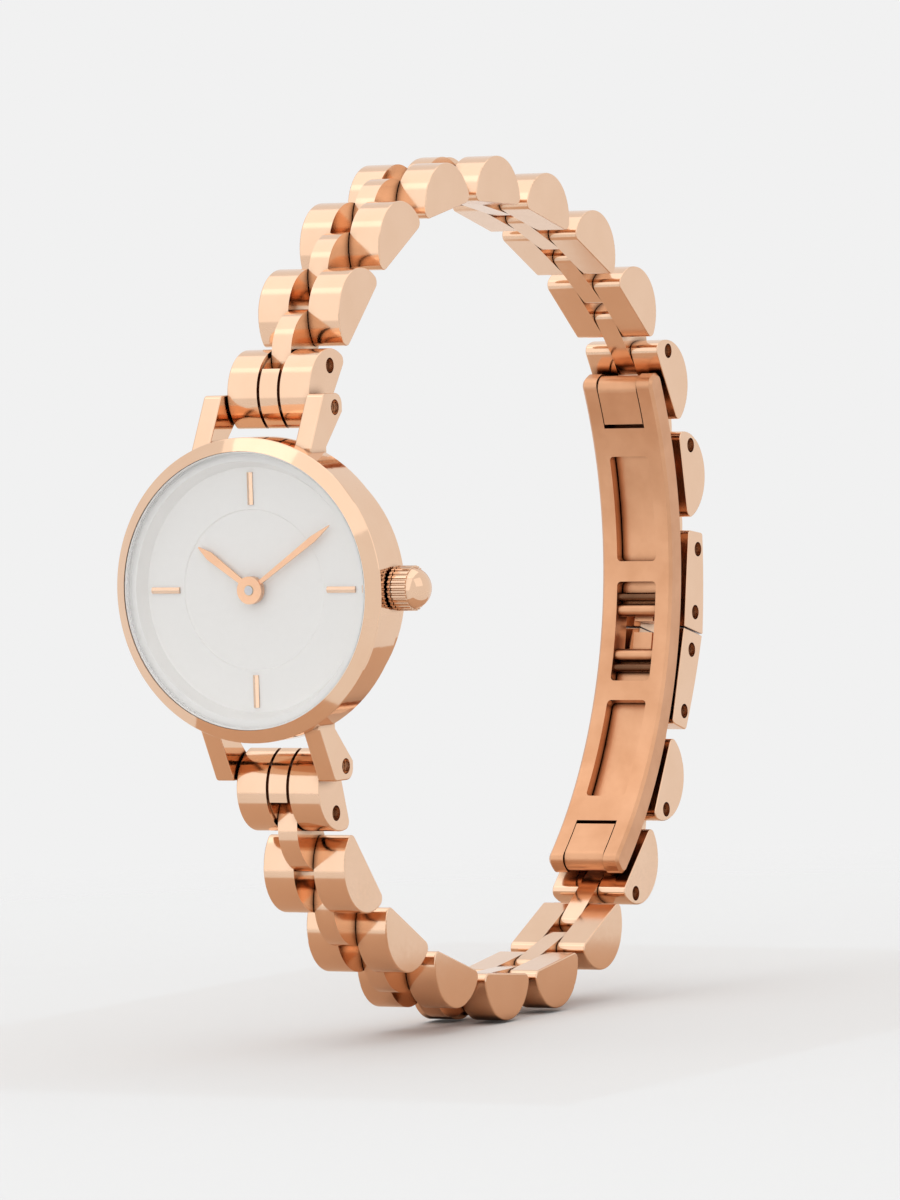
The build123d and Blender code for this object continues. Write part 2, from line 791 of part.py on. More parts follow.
def clasp_blade(side, tip_pin):
    """A blade: knuckle on the plate's hinge pin, strip in the channel, tongue up to the clasp link's pin."""
    half_width = clasp_channel_width / 2 - clasp_blade_side_gap
    hinge = plate_point(side * hinge_along, hinge_depth)
    tip = side * (hook_place - hook_radius / 2)
    knuckle_start = side * (fork_along + clasp_fork_gap)
    out = (tip_pin - plate_centre).normalized()
    along = Vector(0, -out.Z, out.Y)
    foot = plate_centre + out * (plate_radius - clasp_blade_thickness / 2)
    with BuildPart() as blade:
        strip = plate_slab(*sorted((tip, side * hinge_along)), 0, clasp_blade_thickness)
        slab(strip, -half_width, half_width)
        knuckle = plate_slab(*sorted((knuckle_start, side * hinge_along)), 0, clasp_plate_thickness)
        slab(knuckle, -half_width, half_width)
        cross_pin(hinge, hinge_depth, half_width)
        cross_pin(plate_point(side * hook_place, hook_depth), hook_radius, half_width)
        with BuildSketch(Plane.YZ) as tongue:
            corners = [
                tip_pin + along * tongue_radius,
                tip_pin - along * tongue_radius,
                foot - along * tongue_radius,
                foot + along * tongue_radius,
            ]
            Polygon(*[flat(corner) for corner in corners], align=None)
            with Locations((tip_pin.Y, tip_pin.Z)):
                Circle(tongue_radius)
        slab(tongue.sketch, -half_centre, half_centre)
        cross_pin(tip_pin, link_pin_radius + running_gap, half_centre + overrun, Mode.SUBTRACT)
        cross_pin(hinge, clasp_pin_radius + running_gap, half_width + overrun, Mode.SUBTRACT)
    return blade


write(clasp_blade(1, upper_pins[-1]), "clasp_blade_upper")
write(clasp_blade(-1, lower_pins[-1]), "clasp_blade_lower")


# Spring bars: a barrel between the lugs, with a thinner pivot in each lug
with BuildPart() as spring_bars:
    for end in sides:
        bar = Vector(0, lug_pin_y, end * lug_pin_z)
        cross_pin(bar, spring_bar_radius, lug_gap / 2 - side_gap)
        cross_pin(bar, spring_pivot_radius, lug_gap / 2 + spring_pivot_reach)
write(spring_bars, "spring_bars")


# Bezel, crystal and its gasket
with BuildPart() as bezel:
    turned(
        [
            (case_radius, bezel_seat_y),
            (case_radius, front_edge_y),
            (bezel_inner_radius, crystal_top_y),
            (bezel_inner_radius, bezel_foot_y),
            (case_spigot_radius + press_gap, bezel_foot_y),
            (case_spigot_radius + press_gap, bezel_seat_y),
        ]
    )
    outer_edges = bezel.edges().filter_by(GeomType.CIRCLE).group_by(SortBy.RADIUS)[-1]
    fillet(outer_edges.sort_by(Axis.Y)[0], case_edge_round)
write(bezel, "bezel")

with BuildPart() as crystal:
    disc(crystal_back_y, crystal_radius, crystal_thickness)
    chamfer(crystal.edges().filter_by(GeomType.CIRCLE).sort_by(Axis.Y)[0], crystal_bevel)
write(crystal, "crystal")

with BuildPart() as crystal_gasket:
    gasket_inner = crystal_radius + press_gap
    gasket_outer = gasket_inner + crystal_gasket_wall
    gasket_front_y = crystal_top_y + crystal_gasket_drop
    turned(
        [
            (gasket_inner, crystal_back_y),
            (gasket_outer, crystal_back_y),
            (gasket_outer, gasket_front_y),
            (gasket_inner, gasket_front_y),
        ]
    )
write(crystal_gasket, "crystal_gasket")


# Dial, its sloping rim ring and the four hour markers
holder_outer_radius = dial_seat_radius - holder_wall_gap
dial_foot_reach = (movement_radius + dial_radius) / 2
dial_feet = [bearing(dial_foot_reach, degrees) for degrees in (60, 240)]

with BuildPart() as dial:
    turned(
        [
            (dial_hole_radius, dial_back_y),
            (dial_radius, dial_back_y),
            (dial_radius, dial_front_y),
            (dial_centre_radius + dial_centre_depth, dial_front_y),
            (dial_centre_radius, dial_front_y + dial_centre_depth),
            (dial_hole_radius, dial_front_y + dial_centre_depth),
        ]
    )
    for place in dial_feet:
        disc(dial_back_y + dial_foot_length, dial_foot_radius, dial_foot_length, place)
write(dial, "dial")

with BuildPart() as dial_flange:
    flange_front_y = crystal_back_y + flange_front_gap
    turned(
        [
            (flange_inner_radius, dial_front_y),
            (dial_radius, dial_front_y),
            (dial_radius, case_shoulder_y),
            (bezel_inner_radius - side_gap, case_shoulder_y),
            (bezel_inner_radius - side_gap, flange_front_y),
            (flange_slope_radius, flange_front_y),
        ]
    )
write(dial_flange, "dial_flange")

with BuildPart() as hour_markers:
    for number in range(marker_count):
        turn = math.radians(360 * number / marker_count)
        out = Vector(math.sin(turn), 0, math.cos(turn))
        foot = out * marker_inner_radius + Vector(0, dial_front_y, 0)
        with BuildSketch(Plane(origin=foot, x_dir=(out.Z, 0, -out.X), z_dir=out)) as section:
            edge_height = marker_height * marker_ridge_share
            Polygon(
                (-marker_width / 2, 0),
                (marker_width / 2, 0),
                (marker_width / 2, -edge_height),
                (0, -marker_height),
                (-marker_width / 2, -edge_height),
                align=None,
            )
        extrude(section.sketch, amount=marker_outer_radius - marker_inner_radius)
write(hour_markers, "hour_markers")


def hand(base_y, length, width, angle, hub_thickness, bore):
    """A lance-shaped hand on a round hub, pointing at that angle clockwise from 12."""
    turn = math.radians(90 - angle)
    plane = Plane(origin=(0, base_y, 0), x_dir=(math.cos(turn), 0, math.sin(turn)), z_dir=(0, -1, 0))
    with BuildPart() as piece:
        with BuildSketch(plane) as outline:
            root = width * hand_root_share / 2
            tip = width * hand_tip_share / 2
            widest = length * hand_widest_share
            Polygon(
                (0, -root),
                (widest, -width / 2),
                (length, -tip),
                (length, tip),
                (widest, width / 2),
                (0, root),
                align=None,
            )
        extrude(outline.sketch, amount=hand_thickness)
        disc(base_y, hand_hub_radius, hub_thickness)
        disc(base_y + overrun, bore, hub_thickness + 2 * overrun, mode=Mode.SUBTRACT)
    return piece


hour_tube_radius = cannon_radius + running_gap + hour_tube_wall
hour_bore = hour_tube_radius + press_gap
minute_bore = cannon_radius + press_gap
write(
    hand(hour_hand_y, hour_hand_length, hour_hand_width, hour_hand_angle, hour_hub_thickness, hour_bore),
    "hour_hand",
)
write(
    hand(
        minute_hand_y,
        minute_hand_length,
        minute_hand_width,
        minute_hand_angle,
        minute_hub_thickness,
        minute_bore,
    ),
    "minute_hand",
)

with BuildPart() as hand_cap:
    disc(hub_top_y, cap_radius, cap_height)
write(hand_cap, "hand_cap")


# Motion work between the dial and the main plate, level by level
motion_floor_y = dial_back_y + motion_recess_depth
minute_wheel_y = motion_floor_y - wheel_lift
minute_wheel_front_y = minute_wheel_y - wheel_thickness
cannon_front_y = minute_wheel_y - pinion_thickness
hour_wheel_y = cannon_front_y - gear_layer_gap
hour_wheel_front_y = hour_wheel_y - wheel_thickness
minute_wheel_place = bearing(mesh_distance(cannon_teeth, minute_wheel_teeth), minute_wheel_bearing)

with BuildPart() as cannon_pinion:
    gear(minute_wheel_y, cannon_teeth, pinion_thickness, first_tooth=minute_wheel_bearing)
    disc(minute_wheel_y, cannon_radius, minute_wheel_y - hub_top_y)
    disc(minute_wheel_y + overrun, centre_arbor_radius + press_gap, case_front_height, mode=Mode.SUBTRACT)
write(cannon_pinion, "cannon_pinion")

with BuildPart() as minute_wheel:
    facing = minute_wheel_bearing + 180
    half_step = 180 / minute_wheel_teeth
    gear(minute_wheel_y, minute_wheel_teeth, wheel_thickness, minute_wheel_place, facing + half_step)
    pinion_length = minute_wheel_front_y - hour_wheel_front_y
    gear(minute_wheel_front_y, minute_pinion_teeth, pinion_length, minute_wheel_place, facing)
    bore = arbor_radius + running_gap
    disc(minute_wheel_y + overrun, bore, case_front_height, minute_wheel_place, Mode.SUBTRACT)
write(minute_wheel, "minute_wheel")

with BuildPart() as hour_wheel:
    half_step = 180 / hour_wheel_teeth
    gear(hour_wheel_y, hour_wheel_teeth, wheel_thickness, first_tooth=minute_wheel_bearing + half_step)
    disc(hour_wheel_y, hour_tube_radius, hour_wheel_y - hour_hand_y + hour_hub_thickness)
    disc(hour_wheel_y + overrun, cannon_radius + running_gap, case_front_height, mode=Mode.SUBTRACT)
write(hour_wheel, "hour_wheel")


# Going train behind the main plate: rotor, intermediate wheel, centre wheel
centre_front_y = plate_rear_y + wheel_lift
centre_rear_y = centre_front_y + wheel_thickness
pinion_rear_y = centre_rear_y + gear_layer_gap / 2
intermediate_front_y = pinion_rear_y + gear_layer_gap
intermediate_rear_y = intermediate_front_y + wheel_thickness
rotor_pinion_rear_y = intermediate_rear_y + gear_layer_gap
magnet_rear_y = rotor_pinion_rear_y + gear_layer_gap + rotor_magnet_height
intermediate_place = bearing(
    mesh_distance(centre_wheel_teeth, intermediate_pinion_teeth), intermediate_bearing
)
rotor_arm = bearing(mesh_distance(intermediate_wheel_teeth, rotor_pinion_teeth), rotor_bearing)
rotor_place = (intermediate_place[0] + rotor_arm[0], intermediate_place[1] + rotor_arm[1])
pivot_front_y = plate_rear_y - pivot_depth + running_gap

with BuildPart() as centre_wheel:
    gear(centre_rear_y, centre_wheel_teeth, wheel_thickness, first_tooth=intermediate_bearing)
    disc(bridge_rear_y, centre_arbor_radius, bridge_rear_y - hub_top_y)
write(centre_wheel, "centre_wheel")

with BuildPart() as intermediate_wheel:
    half_step = 180 / intermediate_pinion_teeth
    facing = intermediate_bearing + 180
    gear(
        pinion_rear_y,
        intermediate_pinion_teeth,
        pinion_thickness,
        intermediate_place,
        facing + half_step,
    )
    gear(
        intermediate_rear_y, intermediate_wheel_teeth, wheel_thickness, intermediate_place, rotor_bearing
    )
    disc(bridge_rear_y, arbor_radius, bridge_rear_y - pivot_front_y, intermediate_place)
write(intermediate_wheel, "intermediate_wheel")

with BuildPart() as motor_rotor:
    half_step = 180 / rotor_pinion_teeth
    facing = rotor_bearing + 180
    gear(rotor_pinion_rear_y, rotor_pinion_teeth, pinion_thickness, rotor_place, facing + half_step)
    disc(magnet_rear_y, rotor_magnet_radius, rotor_magnet_height, rotor_place)
    disc(bridge_rear_y, arbor_radius, bridge_rear_y - pivot_front_y, rotor_place)
write(motor_rotor, "motor_rotor")


# Movement frame: holder, main plate, train bridge
with BuildPart() as movement_holder:
    turned(
        [
            (movement_radius + movement_gap, dial_back_y),
            (holder_outer_radius, dial_back_y),
            (holder_outer_radius, holder_rear_y),
            (movement_radius + movement_gap, holder_rear_y),
        ]
    )
    with BuildSketch(along_x(0, stem_y)) as hole:
        Circle(stem_radius + holder_hole_gap)
    extrude(hole.sketch, amount=case_radius, mode=Mode.SUBTRACT)
    for place in dial_feet:
        depth = dial_foot_length + running_gap
        disc(dial_back_y + depth, dial_foot_radius + press_gap, depth, place, Mode.SUBTRACT)
write(movement_holder, "movement_holder")

pivot_hole = arbor_radius + running_gap
lever_post_x = stem_groove_place + crown_travel / 2
lever_post = (lever_post_x, lever_post_z)
pocket_low_z = -clutch_radius - wheel_lift
pocket_high_z = lever_post_z + lever_eye_radius + wheel_lift
pocket_floor_y = stem_y - clutch_radius - pocket_margin

with BuildPart() as main_plate:
    turned(
        [
            (0, dial_back_y),
            (movement_radius, dial_back_y),
            (movement_radius, bridge_front_y),
            (movement_radius - movement_wall, bridge_front_y),
            (movement_radius - movement_wall, plate_rear_y),
            (0, plate_rear_y),
        ]
    )
    recess = motion_recess_depth + overrun
    hour_recess = hour_wheel_teeth * gear_module / 2 + motion_recess_gap
    minute_recess = minute_wheel_teeth * gear_module / 2 + motion_recess_gap
    disc(motion_floor_y, hour_recess, recess, mode=Mode.SUBTRACT)
    disc(motion_floor_y, minute_recess, recess, minute_wheel_place, Mode.SUBTRACT)
    disc(motion_floor_y, arbor_radius, motion_floor_y - hour_wheel_front_y, minute_wheel_place)
    centre_hole = centre_arbor_radius + running_gap
    disc(plate_rear_y + overrun, centre_hole, case_front_height, mode=Mode.SUBTRACT)
    for place in (intermediate_place, rotor_place):
        disc(plate_rear_y, pivot_hole, pivot_depth, place, Mode.SUBTRACT)
    with BuildSketch(across(pocket_floor_y)) as pocket:
        pocket_length = movement_radius - stem_inner_end
        pocket_width = pocket_high_z - pocket_low_z
        with Locations((stem_inner_end + pocket_length / 2, (pocket_low_z + pocket_high_z) / 2)):
            Rectangle(pocket_length - movement_wall, pocket_width)
    extrude(pocket.sketch, amount=pocket_floor_y - plate_rear_y, mode=Mode.SUBTRACT)
    shoulder_y = stem_y - lever_thickness / 2
    disc(shoulder_y, lever_post_shoulder, shoulder_y - pocket_floor_y, lever_post)
    disc(plate_rear_y, lever_post_radius, plate_rear_y - shoulder_y, lever_post)
    with BuildSketch(along_x(stem_inner_end - stem_square_end / 2, stem_y)) as hole:
        Circle(stem_radius + stem_hole_gap)
    extrude(hole.sketch, amount=movement_radius, mode=Mode.SUBTRACT)
write(main_plate, "main_plate")


def half_moon(y, thickness, edge_z, keep):
    """Inside a BuildPart: the part of the movement's disc on one side of z = edge_z, clear of the battery."""
    with BuildSketch(across(y)) as face:
        Circle(movement_radius - movement_gap)
        with Locations((0, edge_z - keep * case_radius)):
            Rectangle(2 * case_radius, 2 * case_radius, mode=Mode.SUBTRACT)
        with Locations(battery_place):
            Circle(battery_radius + wheel_lift, mode=Mode.SUBTRACT)
    extrude(face.sketch, amount=thickness)


with BuildPart() as train_bridge:
    half_moon(bridge_rear_y, bridge_thickness, bridge_edge_z, -1)
    through = bridge_rear_y + overrun
    for place, radius in (((0, 0), centre_hole), (intermediate_place, pivot_hole), (rotor_place, pivot_hole)):
        disc(through, radius, 2 * overrun + bridge_thickness, place, Mode.SUBTRACT)
write(train_bridge, "train_bridge")


# Electric parts: board, quartz can, battery with its clip, coil and stator
circuit_rear_y = bridge_front_y + circuit_thickness
with BuildPart() as circuit_board:
    half_moon(circuit_rear_y, circuit_thickness, circuit_edge_z, 1)
write(circuit_board, "circuit_board")


def lying_cylinder(y, z, low_x, high_x, radius):
    """Inside a BuildPart: a cylinder along X between two x values."""
    with BuildSketch(along_x(low_x, y, z)) as face:
        Circle(radius)
    extrude(face.sketch, amount=high_x - low_x)


with BuildPart() as quartz_can:
    low = quartz_place[0] - quartz_length / 2
    lying_cylinder(bridge_front_y - quartz_radius, quartz_place[1], low, low + quartz_length, quartz_radius)
write(quartz_can, "quartz_can")

with BuildPart() as battery:
    disc(circuit_rear_y, battery_radius, battery_height, battery_place)
    chamfer(battery.edges().filter_by(GeomType.CIRCLE).sort_by(Axis.Y)[0], battery_edge)
write(battery, "battery")

with BuildPart() as battery_clip:
    with BuildSketch(across(circuit_rear_y + battery_clip_thickness)) as strip:
        with Locations((battery_place[0] + battery_clip_length / 4, battery_place[1])):
            Rectangle(battery_clip_length, battery_clip_width)
    extrude(strip.sketch, amount=battery_clip_thickness)
write(battery_clip, "battery_clip")

stator_rear_y = -stator_rear
coil_low = stator_legs[0] + stator_leg_width
coil_high = stator_legs[1]
coil_y = stator_rear_y - stator_thickness / 2
with BuildPart() as motor_coil:
    lying_cylinder(coil_y, coil_place_z, coil_low, coil_high, coil_radius)
    lying_cylinder(coil_y, coil_place_z, coil_low, coil_low + coil_cheek_thickness, coil_cheek_radius)
    lying_cylinder(coil_y, coil_place_z, coil_high - coil_cheek_thickness, coil_high, coil_cheek_radius)
write(motor_coil, "motor_coil")

with BuildPart() as motor_stator:
    with BuildSketch(across(stator_rear_y)) as outline:
        foot_low = rotor_place[1] - stator_foot_height / 2
        leg_height = coil_place_z + coil_radius - foot_low
        for leg in stator_legs:
            with Locations((leg + stator_leg_width / 2, foot_low + leg_height / 2)):
                Rectangle(stator_leg_width, leg_height)
        foot_width = stator_legs[1] + stator_leg_width - stator_legs[0]
        with Locations((stator_legs[0] + foot_width / 2, rotor_place[1])):
            Rectangle(foot_width, stator_foot_height)
        with Locations(rotor_place):
            Circle(rotor_magnet_radius + stator_hole_gap, mode=Mode.SUBTRACT)
        Circle(movement_radius - movement_wall - wheel_lift, mode=Mode.INTERSECT)
    extrude(outline.sketch, amount=stator_thickness)
write(motor_stator, "motor_stator")


# Stem with its clutch wheel and setting lever
def on_stem(points):
    """Inside a BuildPart: one solid of revolution about the stem's axis from (x, radius) corners."""
    with BuildSketch(Plane(origin=(0, stem_y, 0), x_dir=(1, 0, 0), z_dir=(0, 0, 1))) as profile:
        Polygon(*points, align=None)
    revolve(profile.sketch, axis=Axis((0, stem_y, 0), (1, 0, 0)))


with BuildPart() as stem:
    groove_low = stem_groove_place - stem_groove_width / 2
    groove_high = stem_groove_place + stem_groove_width / 2
    on_stem(
        [
            (stem_square_end, 0),
            (stem_square_end, stem_radius),
            (groove_low, stem_radius),
            (groove_low, stem_groove_radius),
            (groove_high, stem_groove_radius),
            (groove_high, stem_radius),
            (stem_outer_end, stem_radius),
            (stem_outer_end, 0),
        ]
    )
    with BuildSketch(along_x(stem_inner_end, stem_y)) as square:
        Rectangle(stem_square, stem_square)
    extrude(square.sketch, amount=stem_square_end - stem_inner_end)
write(stem, "stem")

with BuildPart() as clutch_wheel:
    groove_low = clutch_start + clutch_length / 2 - clutch_groove_width / 2
    groove_high = groove_low + clutch_groove_width
    groove_floor = clutch_radius - clutch_groove_depth
    on_stem(
        [
            (clutch_start, 0),
            (clutch_start, clutch_radius),
            (groove_low, clutch_radius),
            (groove_low, groove_floor),
            (groove_high, groove_floor),
            (groove_high, clutch_radius),
            (clutch_start + clutch_length, clutch_radius),
            (clutch_start + clutch_length, 0),
        ]
    )
    with BuildSketch(along_x(clutch_start - overrun, stem_y)) as square:
        hole_side = stem_square + 2 * running_gap
        Rectangle(hole_side, hole_side)
    extrude(square.sketch, amount=clutch_length + 2 * overrun, mode=Mode.SUBTRACT)
write(clutch_wheel, "clutch_wheel")

lever_swing = 2 * math.asin(crown_travel / 2 / lever_reach)
print("lever swing", math.degrees(lever_swing), "post", lever_post)
with BuildPart() as setting_lever:
    lean = -lever_swing / 2
    arm = Vector(math.sin(lean), -math.cos(lean))
    beside = Vector(-arm.Y, arm.X)
    eye = Vector(*lever_post)
    tip = eye + arm * lever_reach
    corners = [
        eye - beside * (lever_width / 2),
        tip - beside * (lever_nose_width / 2),
        tip + beside * (lever_nose_width / 2),
        eye + beside * (lever_width / 2),
    ]
    with BuildSketch(across(stem_y + lever_thickness / 2)) as outline:
        Polygon(*[(corner.X, corner.Y) for corner in corners], align=None)
        with Locations(lever_post):
            Circle(lever_eye_radius)
            Circle(lever_post_radius + running_gap, mode=Mode.SUBTRACT)
    extrude(outline.sketch, amount=lever_thickness)
write(setting_lever, "setting_lever")


# Crown tube, crown and the gasket between them
tube_end = case_radius + tube_stand
with BuildPart() as crown_tube:
    on_stem(
        [
            (tube_start, tube_bore),
            (tube_start, tube_radius),
            (tube_end, tube_radius),
            (tube_end, tube_bore),
        ]
    )
write(crown_tube, "crown_tube")

crown_start = case_radius + crown_gap
crown_groove_start = crown_start + crown_ring_width
knurl_start = crown_groove_start + crown_groove_width
knurl_end = knurl_start + crown_knurl_length
ball_x = knurl_end - crown_ball_sink
cavity_end = tube_end + crown_gap
with BuildPart() as crown:
    on_stem(
        [
            (crown_start, crown_cavity_radius),
            (crown_start, crown_radius),
            (crown_groove_start, crown_radius),
            (crown_groove_start, crown_radius - crown_groove_depth),
            (knurl_start, crown_radius - crown_groove_depth),
            (knurl_start, crown_radius),
            (knurl_end, crown_radius),
            (knurl_end, 0),
            (cavity_end, 0),
            (cavity_end, crown_cavity_radius),
        ]
    )
    with BuildSketch(along_x(crown_start, stem_y)) as flutes:
        with PolarLocations(crown_radius, crown_flutes):
            Circle(crown_flute_radius)
    extrude(flutes.sketch, amount=knurl_end - crown_start, mode=Mode.SUBTRACT)
    with BuildSketch(Plane(origin=(0, stem_y, 0), x_dir=(1, 0, 0), z_dir=(0, 0, 1))) as ball:
        with Locations((ball_x, 0)):
            Circle(crown_ball_radius)
        with Locations((knurl_end - crown_radius, 0)):
            Rectangle(2 * crown_radius, 4 * crown_radius, mode=Mode.SUBTRACT)
        with Locations((ball_x, -crown_radius)):
            Rectangle(4 * crown_radius, 2 * crown_radius, mode=Mode.SUBTRACT)
    revolve(ball.sketch, axis=Axis((0, stem_y, 0), (1, 0, 0)))
    with BuildSketch(along_x(cavity_end, stem_y)) as hole:
        Circle(stem_radius + press_gap)
    extrude(hole.sketch, amount=stem_outer_end - cavity_end, mode=Mode.SUBTRACT)
write(crown, "crown")

with BuildPart() as crown_gasket:
    gasket_start = crown_start + crown_gasket_start
    gasket_end = gasket_start + crown_gasket_height
    on_stem(
        [
            (gasket_start, tube_radius + running_gap),
            (gasket_start, crown_cavity_radius - press_gap),
            (gasket_end, crown_cavity_radius - press_gap),
            (gasket_end, tube_radius + running_gap),
        ]
    )
write(crown_gasket, "crown_gasket")


# Case back and its gasket
with BuildPart() as case_back:
    disc(0, case_back_radius, case_back_thickness)
    chamfer(case_back.edges().filter_by(GeomType.CIRCLE).sort_by(Axis.Y)[-1], case_back_bevel)
    with BuildSketch(across(0)) as notch:
        with Locations((0, -case_back_radius)):
            Rectangle(case_back_notch_width, 2 * case_back_notch_depth)
    extrude(notch.sketch, amount=case_rim_drop, mode=Mode.SUBTRACT)
write(case_back, "case_back")

with BuildPart() as case_back_gasket:
    gasket_outer = dial_seat_radius - running_gap
    gasket_inner = gasket_outer - back_gasket_wall
    turned(
        [
            (gasket_inner, back_seat_y),
            (gasket_outer, back_seat_y),
            (gasket_outer, back_seat_y - back_gasket_height),
            (gasket_inner, back_seat_y - back_gasket_height),
        ]
    )
write(case_back_gasket, "case_back_gasket")
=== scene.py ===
"""Looks for the bracelet watch: rose gold metals, a pale dial under glass and soft studio light."""

import math

import bpy
from mathutils import Matrix, Vector


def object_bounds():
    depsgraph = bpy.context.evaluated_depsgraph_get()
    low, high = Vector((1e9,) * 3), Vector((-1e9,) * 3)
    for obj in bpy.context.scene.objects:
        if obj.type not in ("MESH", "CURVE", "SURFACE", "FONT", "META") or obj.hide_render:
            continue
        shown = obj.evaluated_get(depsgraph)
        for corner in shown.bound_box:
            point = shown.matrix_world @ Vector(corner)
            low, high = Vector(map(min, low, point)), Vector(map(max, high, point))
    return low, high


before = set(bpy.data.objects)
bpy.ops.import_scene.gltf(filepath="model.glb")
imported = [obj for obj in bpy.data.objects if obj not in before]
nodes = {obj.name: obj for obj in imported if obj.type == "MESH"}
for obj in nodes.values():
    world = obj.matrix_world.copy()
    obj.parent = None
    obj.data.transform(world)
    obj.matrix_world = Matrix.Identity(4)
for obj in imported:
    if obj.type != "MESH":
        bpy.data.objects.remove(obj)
cad_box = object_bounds()

# Camera, fitted to the photograph; lengths in metres, seen from the middle of the bezel's front edge plane
azimuth, elevation, roll = (math.radians(angle) for angle in (29.17, 2.66, -1.75))
camera_distance = 0.600
camera_slide = (0.0145, -0.000675)
camera_near = 0.01
bezel_front_y = -0.0056
focal_pixels = 8362.0
frame_height_pixels = 1200
sensor_size = 36

# Stage; lengths in metres
stage_y = 0.03
floor_half_size = 0.4
floor_fade_start = 0.06
floor_fade_end = 0.16
floor_tone = 226
background_tone = 241
card_size = (0.07, 0.11)
card_lift = 0.0002

# Light
studio_strength = 0.95
lamp_target = (0.0, 0.027, 0.0)

# Noise scales in lumps per metre, and bump depths in metres
haze_scale = 350.0
fine_scale = 2600.0
grain_scale = 3000.0
ripple_scale = 900.0
paint_scale = 2000.0
ripple_depth = 0.00001
brush_depth = 0.000006
paint_depth = 0.000004
brush_stretch = (4, 0.05, 0.05)

# Reach of the painted shade between close surfaces, in metres, and its deepest colour
case_reach = 0.0004
clasp_reach = 0.0006
link_reach = 0.0008
painted_shade_colour = (0.16, 0.09, 0.05, 1)
painted_shade_samples = 6


def linear(r, g, b):
    """An sRGB colour in 0..255 as linear RGBA."""
    shares = [value / 255 for value in (r, g, b)]
    return (*(s / 12.92 if s <= 0.04045 else ((s + 0.055) / 1.055) ** 2.4 for s in shares), 1)


def add_camera():
    """The photograph's camera, which looks along the minus of its own back axis."""
    level = math.cos(elevation)
    back = Vector((math.sin(azimuth) * level, -math.cos(azimuth) * level, math.sin(elevation)))
    right = Vector((math.cos(azimuth), math.sin(azimuth), 0))
    up = right.cross(-back)
    across = math.cos(roll) * right + math.sin(roll) * up
    above = -math.sin(roll) * right + math.cos(roll) * up
    slide = across * camera_slide[0] + above * camera_slide[1]
    place = back * camera_distance + slide + Vector((0, bezel_front_y, 0))
    data = bpy.data.cameras.new("camera")
    data.sensor_width = sensor_size
    data.lens = focal_pixels / frame_height_pixels * sensor_size
    data.clip_start = camera_near
    camera = bpy.data.objects.new("camera", data)
    turn = Matrix((across, above, back)).transposed()
    camera.matrix_world = Matrix.Translation(place) @ turn.to_4x4()
    bpy.context.collection.objects.link(camera)
    bpy.context.scene.camera = camera


add_camera()
bpy.context.scene.view_settings.view_transform = "Standard"


# Shader helpers
def new_material(name):
    """A new material with its node tree and its main shader."""
    material = bpy.data.materials.new(name)
    material.use_nodes = True
    tree = material.node_tree
    return material, tree, tree.nodes["Principled BSDF"]


def add(tree, kind, **sockets):
    """A new node with the values of some of its inputs; an underscore stands for a space."""
    node = tree.nodes.new(kind)
    for socket, value in sockets.items():
        node.inputs[socket.replace("_", " ")].default_value = value
    return node


def ramp(tree, source, stops):
    """A colour ramp fed by a socket, from (position, colour) pairs; a colour of one value is a grey."""
    node = tree.nodes.new("ShaderNodeValToRGB")
    elements = node.color_ramp.elements
    while len(elements) < len(stops):
        elements.new(0.5)
    for element, (position, colour) in zip(elements, stops):
        element.position = position
        element.color = colour if len(colour) == 4 else tuple(colour) * 3 + (1,)
    tree.links.new(source, node.inputs["Fac"])
    return node.outputs["Color"]


def mix_shaders(tree, factor, first, second):
    """The first shader where the factor is 0 and the second where it is 1."""
    mix = tree.nodes.new("ShaderNodeMixShader")
    tree.links.new(factor, mix.inputs["Fac"])
    tree.links.new(first, mix.inputs[1])
    tree.links.new(second, mix.inputs[2])
    return mix.outputs["Shader"]


def noise(tree, scale, detail=2.0, stretch=None):
    """Noise over object coordinates, stretched along an axis if asked."""
    where = tree.nodes.new("ShaderNodeTexCoord")
    source = where.outputs["Object"]
    if stretch:
        mapping = tree.nodes.new("ShaderNodeMapping")
        mapping.inputs["Scale"].default_value = stretch
        tree.links.new(source, mapping.inputs["Vector"])
        source = mapping.outputs["Vector"]
    texture = add(tree, "ShaderNodeTexNoise", Scale=scale, Detail=detail)
    tree.links.new(source, texture.inputs["Vector"])
    return texture.outputs["Fac"]


def bump(tree, shader, height, strength, distance):
    """Fine relief in the shader's normal."""
    node = add(tree, "ShaderNodeBump", Strength=strength, Distance=distance)
    tree.links.new(height, node.inputs["Height"])
    tree.links.new(node.outputs["Normal"], shader.inputs["Normal"])


def painted_crevice_shade(tree, colour, reach):
    """The colour socket with painted shade: darkened towards a brown where other surfaces stand closer
    than the reach.
    """
    near = tree.nodes.new("ShaderNodeAmbientOcclusion")
    near.samples = painted_shade_samples
    near.inputs["Distance"].default_value = reach
    shade = ramp(tree, near.outputs["AO"], [(0.3, painted_shade_colour), (0.9, (1, 1, 1, 1))])
    product = tree.nodes.new("ShaderNodeMixRGB")
    product.blend_type = "MULTIPLY"
    product.inputs["Fac"].default_value = 1.0
    tree.links.new(colour, product.inputs["Color1"])
    tree.links.new(shade, product.inputs["Color2"])
    return product.outputs["Color"]


